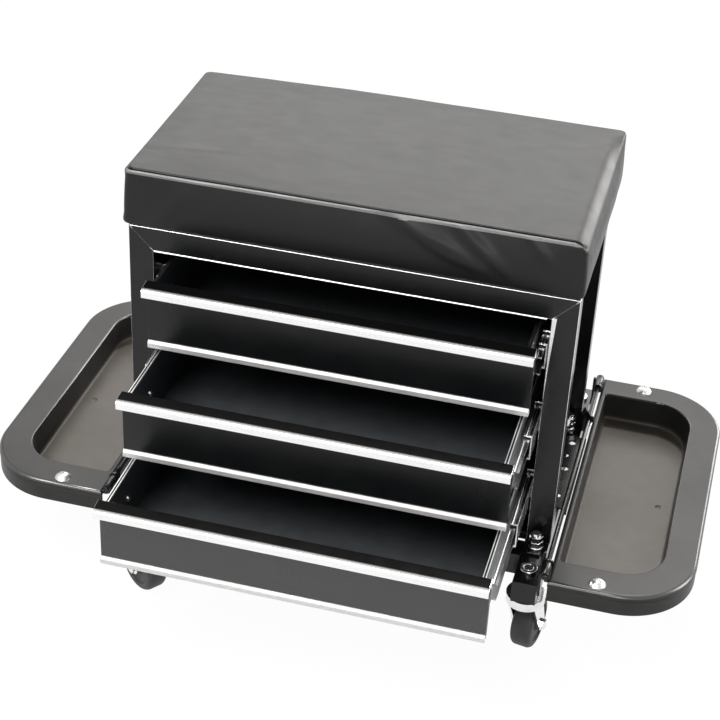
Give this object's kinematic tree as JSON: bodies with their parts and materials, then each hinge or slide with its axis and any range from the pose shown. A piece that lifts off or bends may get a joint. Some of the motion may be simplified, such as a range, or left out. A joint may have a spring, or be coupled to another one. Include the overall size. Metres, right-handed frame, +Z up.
{
  "type": "creeper seat",
  "caption": "Rolling workshop seat with a padded top, open drawers on ball-bearing slides, folding side trays and swivel casters.",
  "frame": {"origin": "on the floor under the middle of the whole object's box, drawers and trays as pictured", "axes": "+X to the right across the drawers, +Y from the drawers to the back, +Z up"},
  "size_m": [0.749, 0.503, 0.4627],
  "materials": {
    "vinyl": "soft black vinyl with a fine grain",
    "board_wood": "raw plywood",
    "black_paint": "black powder coat",
    "tray_paint": "satin black powder coat",
    "zinc": "bright zinc plate",
    "aluminium": "bright anodised",
    "grey_trim": "satin grey",
    "chrome": "polished",
    "wheel_rubber": "matt black"
  },
  "bodies": {
    "cabinet": {"seat_cushion": "vinyl", "seat_board": "board_wood", "seat_screws": "zinc", "frame_head": "black_paint", "frame_sill": "black_paint", "frame_stile_left": "black_paint", "frame_stile_right": "black_paint", "side_panel_left": "black_paint", "side_panel_right": "black_paint", "rear_post_left": "black_paint", "rear_post_right": "black_paint", "back_panel": "black_paint", "top_panel": "black_paint", "floor_panel": "black_paint", "rail_left": "black_paint", "rail_right": "black_paint", "crossbar_front": "black_paint", "crossbar_rear": "black_paint", "rail_bolts": "chrome", "tool_strips": "black_paint", "slide_outer_members": "zinc", "tray_hinge_rods": "black_paint", "tray_hinge_ears": "black_paint", "caster_stems": "chrome"},
    "slide_1_middle_members": {"slide_1_middle": "zinc", "slide_1_balls": "chrome"},
    "slide_2_middle_members": {"slide_2_middle": "zinc", "slide_2_balls": "chrome"},
    "slide_3_middle_members": {"slide_3_middle": "zinc", "slide_3_balls": "chrome"},
    "drawer_1": {"slide_1_inner": "zinc", "drawer_1_box": "black_paint", "drawer_1_front": "black_paint", "drawer_1_pull": "aluminium", "drawer_1_trim": "grey_trim"},
    "drawer_2": {"slide_2_inner": "zinc", "drawer_2_box": "black_paint", "drawer_2_front": "black_paint", "drawer_2_pull": "aluminium", "drawer_2_trim": "grey_trim"},
    "drawer_3": {"slide_3_inner": "zinc", "drawer_3_box": "black_paint", "drawer_3_front": "black_paint", "drawer_3_pull": "aluminium", "drawer_3_trim": "grey_trim"},
    "left_tray": {"tray_left": "tray_paint", "tray_left_arms": "black_paint", "tray_left_screws": "chrome"},
    "right_tray": {"tray_right": "tray_paint", "tray_right_arms": "black_paint", "tray_right_screws": "chrome"},
    "caster_front_left_swivel": {"caster_front_left_fork": "chrome"},
    "caster_front_right_swivel": {"caster_front_right_fork": "chrome"},
    "caster_rear_left_swivel": {"caster_rear_left_fork": "chrome"},
    "caster_rear_right_swivel": {"caster_rear_right_fork": "chrome"},
    "caster_front_left_wheel_body": {"caster_front_left_wheel": "wheel_rubber"},
    "caster_front_right_wheel_body": {"caster_front_right_wheel": "wheel_rubber"},
    "caster_rear_left_wheel_body": {"caster_rear_left_wheel": "wheel_rubber"},
    "caster_rear_right_wheel_body": {"caster_rear_right_wheel": "wheel_rubber"}
  },
  "joints": [
    {"name": "drawer_1_slide", "type": "slide", "parent": "cabinet", "child": "drawer_1", "axis": [0, -1, 0], "range_m": [-0.038, 0.162]},
    {"name": "slide_1_middle_travel", "type": "slide", "parent": "cabinet", "child": "slide_1_middle_members", "axis": [0, -1, 0], "range_m": [-0.019, 0.081]},
    {"name": "drawer_2_slide", "type": "slide", "parent": "cabinet", "child": "drawer_2", "axis": [0, -1, 0], "range_m": [-0.112, 0.088]},
    {"name": "slide_2_middle_travel", "type": "slide", "parent": "cabinet", "child": "slide_2_middle_members", "axis": [0, -1, 0], "range_m": [-0.056, 0.044]},
    {"name": "drawer_3_slide", "type": "slide", "parent": "cabinet", "child": "drawer_3", "axis": [0, -1, 0], "range_m": [-0.179, 0.021]},
    {"name": "slide_3_middle_travel", "type": "slide", "parent": "cabinet", "child": "slide_3_middle_members", "axis": [0, -1, 0], "range_m": [-0.0895, 0.0105]},
    {"name": "right_tray_hinge", "type": "hinge", "parent": "cabinet", "child": "right_tray", "pos_m": [0.23, 0.0595, 0.124], "axis": [0, -1, 0], "range_deg": [0, 90]},
    {"name": "left_tray_hinge", "type": "hinge", "parent": "cabinet", "child": "left_tray", "pos_m": [-0.23, 0.0595, 0.124], "axis": [0, 1, 0], "range_deg": [0, 90]},
    {"name": "caster_front_left_swivel", "type": "hinge", "parent": "cabinet", "child": "caster_front_left_swivel", "pos_m": [-0.2115, -0.1055, 0.075], "axis": [0, 0, 1], "continuous": true},
    {"name": "caster_front_left_roll", "type": "hinge", "parent": "caster_front_left_swivel", "child": "caster_front_left_wheel_body", "pos_m": [-0.19347, -0.11879, 0.0285], "axis": [0.5934, 0.8049, 0], "continuous": true},
    {"name": "caster_rear_left_swivel", "type": "hinge", "parent": "cabinet", "child": "caster_rear_left_swivel", "pos_m": [-0.2115, 0.2185, 0.075], "axis": [0, 0, 1], "continuous": true},
    {"name": "caster_rear_left_roll", "type": "hinge", "parent": "caster_rear_left_swivel", "child": "caster_rear_left_wheel_body", "pos_m": [-0.2003, 0.1991, 0.0285], "axis": [0.8661, 0.4998, 0], "continuous": true},
    {"name": "caster_front_right_swivel", "type": "hinge", "parent": "cabinet", "child": "caster_front_right_swivel", "pos_m": [0.2115, -0.1055, 0.075], "axis": [0, 0, 1], "continuous": true},
    {"name": "caster_front_right_roll", "type": "hinge", "parent": "caster_front_right_swivel", "child": "caster_front_right_wheel_body", "pos_m": [0.21539, -0.08344, 0.0285], "axis": [-0.9848, 0.1738, 0], "continuous": true},
    {"name": "caster_rear_right_swivel", "type": "hinge", "parent": "cabinet", "child": "caster_rear_right_swivel", "pos_m": [0.2115, 0.2185, 0.075], "axis": [0, 0, 1], "continuous": true},
    {"name": "caster_rear_right_roll", "type": "hinge", "parent": "caster_rear_right_swivel", "child": "caster_rear_right_wheel_body", "pos_m": [0.1971, 0.20134, 0.0285], "axis": [0.7661, -0.6427, 0], "continuous": true}
  ],
  "couplings": [
    {"joint": "slide_1_middle_travel", "follows": "drawer_1_slide", "ratio": 0.5},
    {"joint": "slide_2_middle_travel", "follows": "drawer_2_slide", "ratio": 0.5},
    {"joint": "slide_3_middle_travel", "follows": "drawer_3_slide", "ratio": 0.5}
  ]
}
